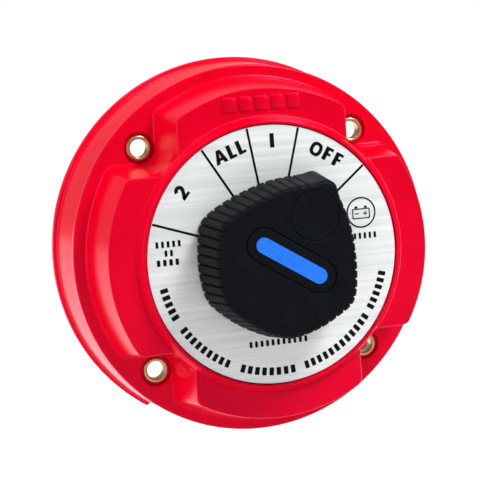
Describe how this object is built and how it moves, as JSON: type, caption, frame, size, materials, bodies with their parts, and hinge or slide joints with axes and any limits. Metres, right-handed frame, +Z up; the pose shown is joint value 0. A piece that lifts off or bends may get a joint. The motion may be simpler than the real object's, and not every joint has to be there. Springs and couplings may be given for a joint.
{
  "type": "battery switch",
  "caption": "Round battery selector switch with a pointer knob over a dial plate, red moulded case on a spacer skirt and threaded rear terminals.",
  "frame": {"origin": "centre of the rear mounting plane, on the shaft axis", "axes": "-Y out of the dial towards the person who turns the knob, +Y into the bulkhead, +Z up as it hangs on the bulkhead, +X to the right of the dial"},
  "size_m": [0.1334, 0.0667, 0.1306],
  "materials": {
    "case": "glossy red moulded plastic",
    "eyelet": "pale bright rolled brass",
    "dial": "fine brushed silver white with black print",
    "bronze": "plain turned bronze",
    "steel": "satin stainless steel",
    "seal": "black rubber",
    "base": "dark moulded insulating board",
    "copper": "plain copper strip",
    "terminal": "plain brass with cut threads",
    "knob": "satin black moulded plastic",
    "badge": "satin black inlay with a plain blue bar",
    "nylon": "natural nylon"
  },
  "bodies": {
    "case": {"housing": "case", "mounting_skirt": "case", "eyelet_upper_right": "eyelet", "eyelet_upper_left": "eyelet", "eyelet_lower_left": "eyelet", "eyelet_lower_right": "eyelet", "dial_plate": "dial", "shaft_bushing": "bronze", "detent_plate": "steel", "base_gasket": "seal", "base_plate": "base", "base_screw_1": "steel", "base_screw_2": "steel", "base_screw_3": "steel", "base_screw_4": "steel", "contact_one": "copper", "contact_two": "copper", "contact_common": "copper", "stud_one": "terminal", "stud_two": "terminal", "stud_common": "terminal", "jam_nut_one": "terminal", "jam_nut_two": "terminal", "jam_nut_common": "terminal", "lock_washer_one": "steel", "lock_washer_two": "steel", "lock_washer_common": "steel", "terminal_nut_one": "terminal", "terminal_nut_two": "terminal", "terminal_nut_common": "terminal"},
    "selector": {"knob": "knob", "knob_badge": "badge", "knob_screw": "steel", "selector_shaft": "steel", "shaft_seal": "seal", "retaining_ring": "steel", "thrust_washer": "nylon", "rotor": "nylon", "wiper_blade": "copper", "wiper_spring": "steel", "detent_ball_1": "steel", "detent_ball_2": "steel", "detent_spring_1": "steel", "detent_spring_2": "steel"}
  },
  "joints": [
    {"name": "selector_turn", "type": "hinge", "parent": "case", "child": "selector", "pos_m": [0, -0.05, 0], "axis": [0, -1, 0], "range_deg": [0, 84]}
  ]
}
